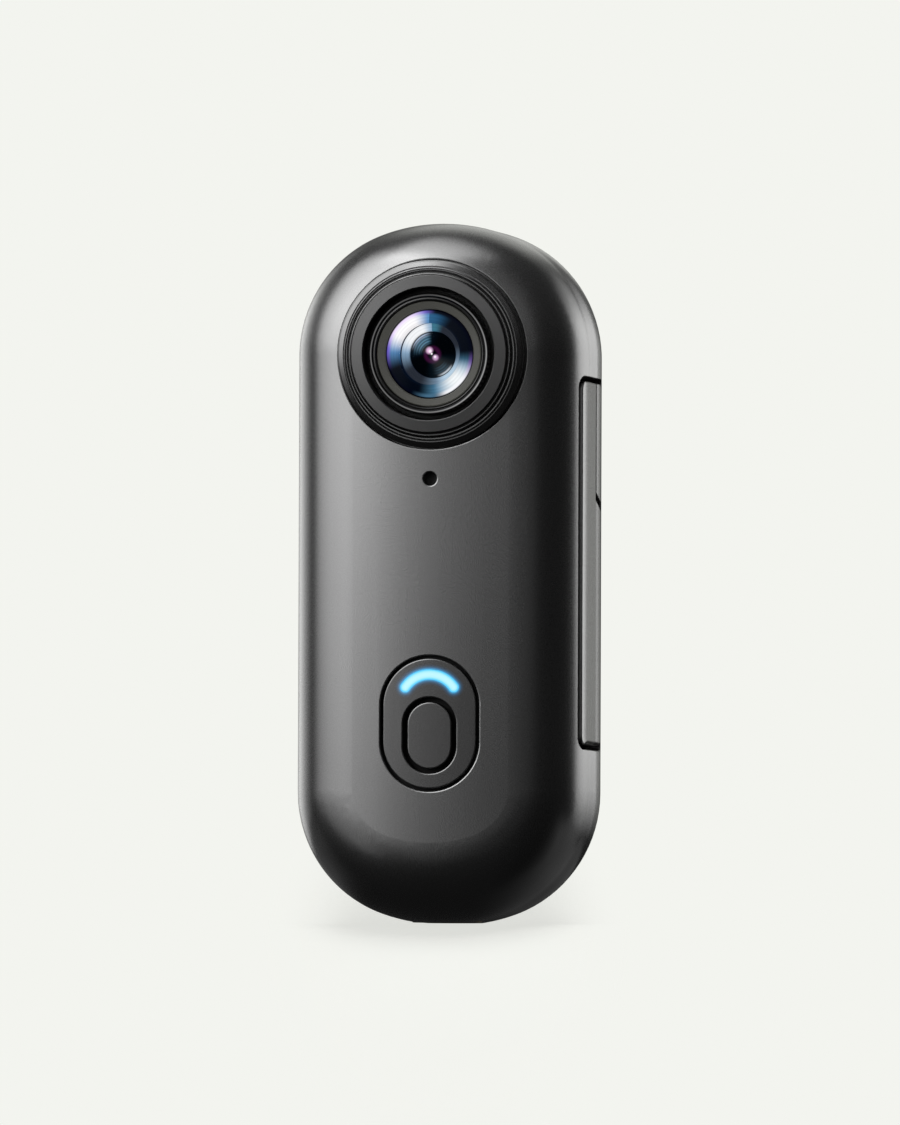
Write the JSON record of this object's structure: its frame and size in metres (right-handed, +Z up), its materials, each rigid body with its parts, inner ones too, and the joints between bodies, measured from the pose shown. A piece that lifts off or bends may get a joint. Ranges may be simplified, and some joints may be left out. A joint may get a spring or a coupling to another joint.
{
  "type": "mini action camera",
  "caption": "Thumb-sized action camera: upright capsule body with a large lens, a lit record key, a hinged side door over its ports and a tripod socket in its base.",
  "frame": {"origin": "mouth of the tripod socket, in the middle of the flat bottom", "axes": "+Z up along the body's length, the lens looks along -Y, +X towards the flank with the door"},
  "size_m": [0.026, 0.0211, 0.062],
  "materials": {
    "shell": "fine satin moulded surface",
    "lens_metal": "satin black",
    "optics": "coated",
    "light": "lit from behind",
    "seal": "soft",
    "mesh": "fine weave",
    "brass": "turned",
    "steel": "brushed",
    "aluminium": "rolled",
    "inner_plastic": "moulded",
    "card": "moulded",
    "board": "solder mask",
    "chip": "moulded package",
    "led": "clear",
    "flex": "polyimide film",
    "cell": "wrapped foil"
  },
  "bodies": {
    "housing": {"antenna": "flex", "aperture_stop": "lens_metal", "battery": "cell", "board_screws": "steel", "bolt_spring": "steel", "button_flex": "flex", "button_panel": "shell", "button_seal": "seal", "card_socket": "steel", "cover_screws": "steel", "cover_seal": "seal", "front_board": "board", "front_lens": "optics", "front_shell": "shell", "heat_spreader": "aluminium", "hinge_pin": "steel", "image_sensor": "chip", "inner_frame": "inner_plastic", "ir_filter": "optics", "lens_barrel": "lens_metal", "lens_bezel": "lens_metal", "lens_holder": "inner_plastic", "lens_o_ring": "seal", "lens_retaining_ring": "lens_metal", "lens_spacer": "lens_metal", "lens_trim_ring": "lens_metal", "light_guide": "light", "main_board": "board", "mic_boot": "seal", "mic_mesh": "mesh", "microphone": "chip", "port_bay": "inner_plastic", "processor": "chip", "rear_cover": "shell", "rear_lens": "optics", "rear_plate": "steel", "record_switch": "steel", "release_spring": "steel", "second_lens": "optics", "sensor_board": "board", "sensor_flex": "flex", "shield_can": "steel", "speaker": "inner_plastic", "status_leds": "led", "third_lens": "optics", "tripod_insert": "brass", "usb_socket": "steel"},
    "record_button": {"record_button": "shell", "switch_plunger": "inner_plastic"},
    "side_door": {"side_door": "shell", "door_gasket": "seal"},
    "door_release": {"door_release": "shell"},
    "latch_bolt": {"latch_bolt": "inner_plastic"},
    "memory_card": {"memory_card": "card"}
  },
  "joints": [
    {"name": "record_button_press", "type": "slide", "parent": "housing", "child": "record_button", "axis": [0, 1, 0], "range_m": [0, 0.0003], "stiffness_N_per_m": 2000, "deforming": ["button_seal"]},
    {"name": "side_door_hinge", "type": "hinge", "parent": "housing", "child": "side_door", "pos_m": [0.0121, 0, 0.0164], "axis": [0, 1, 0], "range_deg": [0, 90]},
    {"name": "door_release_press", "type": "slide", "parent": "housing", "child": "door_release", "axis": [-1, 0, 0], "range_m": [0, 0.0007], "stiffness_N_per_m": 1000, "deforming": ["release_spring"]},
    {"name": "latch_bolt_slide", "type": "slide", "parent": "housing", "child": "latch_bolt", "axis": [0, 1, 0], "range_m": [0, 0.0007], "deforming": ["bolt_spring"]},
    {"name": "memory_card_slide", "type": "slide", "parent": "housing", "child": "memory_card", "axis": [1, 0, 0], "range_m": [-0.0005, 0.0025]}
  ],
  "couplings": [
    {"joint": "latch_bolt_slide", "follows": "door_release_press", "ratio": 1}
  ]
}
